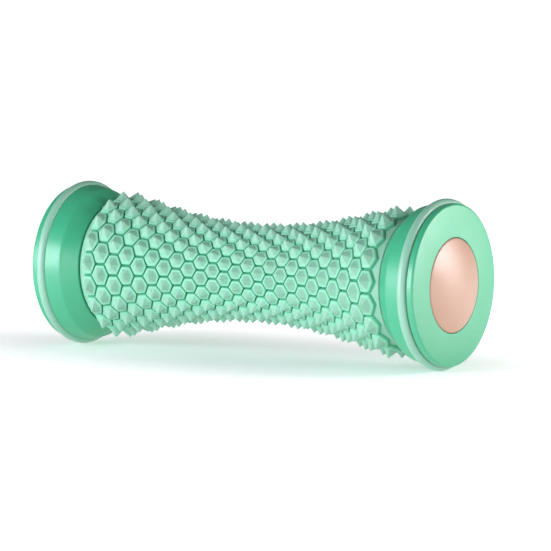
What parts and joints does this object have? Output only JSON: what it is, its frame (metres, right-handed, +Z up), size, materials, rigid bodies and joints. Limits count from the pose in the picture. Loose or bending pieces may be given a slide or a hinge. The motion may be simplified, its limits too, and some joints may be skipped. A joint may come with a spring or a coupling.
{
  "type": "foot massage roller",
  "caption": "Hourglass roller with a studded soft barrel that turns between two wheels with soft tyres, for rolling under the foot",
  "frame": {"origin": "centre of the roller, on the axle's axis", "axes": "+X along the axle, towards the right wheel; +Z up; the tyres meet the floor at z = -33 mm"},
  "size_m": [0.184, 0.066, 0.066],
  "materials": {
    "mint_plastic": "glossy injection-moulded ABS, mint green",
    "tyre_rubber": "smooth semi-matt thermoplastic rubber, pale mint",
    "stud_rubber": "matt thermoplastic rubber, light mint",
    "peach_plastic": "fine satin moulded plastic, pale peach",
    "core_plastic": "natural moulded polypropylene",
    "bearing_plastic": "white acetal",
    "ground_steel": "ground bright steel",
    "zinc_steel": "zinc-plated steel"
  },
  "bodies": {
    "wheels": {"axle": "ground_steel", "right_inner_flange": "mint_plastic", "right_tyre_ring": "tyre_rubber", "right_outer_cover": "mint_plastic", "right_centre_cap": "peach_plastic", "right_axle_screw": "zinc_steel", "right_screw_washer": "zinc_steel", "right_thrust_washer": "bearing_plastic", "left_inner_flange": "mint_plastic", "left_tyre_ring": "tyre_rubber", "left_outer_cover": "mint_plastic", "left_centre_cap": "peach_plastic", "left_axle_screw": "zinc_steel", "left_screw_washer": "zinc_steel", "left_thrust_washer": "bearing_plastic"},
    "barrel": {"studded_sleeve": "stud_rubber", "right_core_half": "core_plastic", "right_end_plug": "core_plastic", "right_bush": "bearing_plastic", "left_core_half": "core_plastic", "left_end_plug": "core_plastic", "left_bush": "bearing_plastic"}
  },
  "joints": [
    {"name": "barrel_spin", "type": "hinge", "parent": "wheels", "child": "barrel", "pos_m": [0, 0, 0], "axis": [1, 0, 0], "continuous": true}
  ]
}
